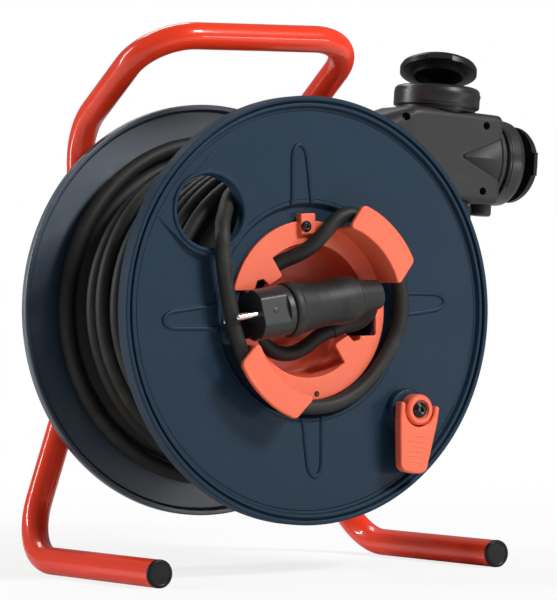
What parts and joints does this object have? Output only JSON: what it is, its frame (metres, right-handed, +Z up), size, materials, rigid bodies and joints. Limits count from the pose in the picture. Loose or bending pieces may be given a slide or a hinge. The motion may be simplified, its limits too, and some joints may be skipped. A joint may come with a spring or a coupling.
{
  "type": "extension cord reel",
  "caption": "Cable reel on a bent tube stand, with a fold-out crank, a parked plug in a holder and a block of lidded socket outlets beside the carrying grip.",
  "frame": {"origin": "on the floor below the middle of the reel and its stand", "axes": "+Z up, the drum turns about Y and its front flange faces -Y, +X is the side of the socket block"},
  "size_m": [0.4327, 0.2162, 0.402],
  "materials": {
    "red_paint": "glossy powder coat",
    "black_rubber": "matte",
    "black_steel": "black zinc",
    "steel": "zinc plated",
    "plated_contacts": "nickel plated",
    "navy_plastic": "satin moulded",
    "salmon_plastic": "satin moulded",
    "cable_rubber": "matte rubber",
    "black_plastic": "moulded",
    "grey_plastic": "finely grained",
    "lid_plastic": "moulded"
  },
  "bodies": {
    "stand": {"frame_tube": "red_paint", "foot_caps": "black_rubber", "cross_plate": "red_paint", "tube_clamps": "red_paint", "clamp_bolts": "black_steel", "clamp_nuts": "steel", "axle": "steel", "axle_nut": "steel", "axle_washer": "steel", "axle_bolt": "steel", "block_cradle": "red_paint", "cradle_strap": "red_paint", "cradle_screws": "black_steel", "tail_cord": "cable_rubber", "block_boot": "cable_rubber", "block_gland": "black_plastic", "block_front_shell": "grey_plastic", "block_rear_shell": "grey_plastic", "block_screws": "black_steel", "socket_top": "grey_plastic", "socket_right": "grey_plastic", "socket_bottom": "grey_plastic", "earth_clips": "plated_contacts", "contact_sleeves": "plated_contacts", "lid_pins": "steel"},
    "drum": {"front_flange": "navy_plastic", "rear_flange": "navy_plastic", "drum_core": "navy_plastic", "front_bush": "black_plastic", "rear_bush": "black_plastic", "flange_screws": "steel", "rear_screws": "black_steel", "plug_holder": "salmon_plastic", "holder_screws": "black_steel", "cable_core": "cable_rubber", "cable_winding": "cable_rubber", "pigtail_cord": "cable_rubber", "plug_body": "cable_rubber", "plug_face": "black_plastic", "plug_pins": "plated_contacts", "plug_contacts": "plated_contacts", "plug_boot": "cable_rubber", "crank_screw": "black_steel", "crank_nut": "steel"},
    "crank": {"crank_hub": "salmon_plastic", "crank_pins": "steel"},
    "handle": {"crank_handle": "salmon_plastic"},
    "top_lid": {"lid_top": "lid_plastic"},
    "right_lid": {"lid_right": "lid_plastic"},
    "bottom_lid": {"lid_bottom": "lid_plastic"}
  },
  "joints": [
    {"name": "drum_spin", "type": "hinge", "parent": "stand", "child": "drum", "pos_m": [0, 0, 0.191], "axis": [0, -1, 0], "continuous": true},
    {"name": "crank_swivel", "type": "hinge", "parent": "drum", "child": "crank", "pos_m": [0.08313, -0.0915, 0.11745], "axis": [0, -1, 0], "continuous": true},
    {"name": "crank_fold", "type": "hinge", "parent": "crank", "child": "handle", "pos_m": [0.08313, -0.0915, 0.11745], "axis": [-0.9903, 0, 0.1392], "range_deg": [0, 90]},
    {"name": "lid_top_hinge", "type": "hinge", "parent": "stand", "child": "top_lid", "pos_m": [0.21911, 0.07726, 0.36259], "axis": [-0.8448, 0.5299, 0.0739], "range_deg": [-17, 93]},
    {"name": "lid_right_hinge", "type": "hinge", "parent": "stand", "child": "right_lid", "pos_m": [0.26421, 0.0825, 0.30193], "axis": [0.0872, 0, 0.9962], "range_deg": [-7, 103]},
    {"name": "lid_bottom_hinge", "type": "hinge", "parent": "stand", "child": "bottom_lid", "pos_m": [0.18905, 0.0825, 0.25179], "axis": [0.9962, 0, -0.0872], "range_deg": [0, 110]}
  ]
}
